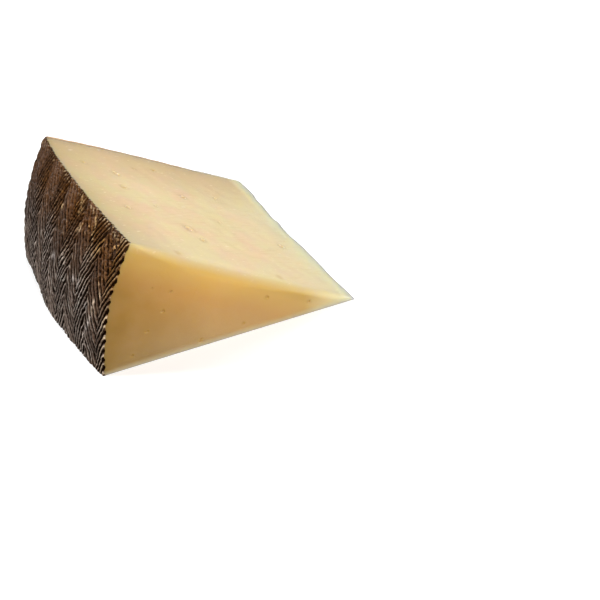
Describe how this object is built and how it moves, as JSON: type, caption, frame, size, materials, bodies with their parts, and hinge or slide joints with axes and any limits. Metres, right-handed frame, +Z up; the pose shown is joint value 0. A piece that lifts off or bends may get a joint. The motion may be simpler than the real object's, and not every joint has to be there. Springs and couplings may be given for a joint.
{
  "type": "manchego",
  "caption": "Wedge of a hard sheep's-milk cheese lying on a cut face, with a dark plait-printed rind on its round side and pale cut paste with small eyes.",
  "frame": {"origin": "centre of the wedge's footprint, on the surface it lies on", "axes": "+X from the round rind to the thin edge, +Y along the wheel's axis from the front cut to the wheel's flat face, +Z up"},
  "size_m": [0.1054, 0.0962, 0.0533],
  "materials": {
    "paste": "satin",
    "rind": "satin"
  },
  "bodies": {
    "root": {"manchego_wedge": "paste"}
  },
  "joints": []
}
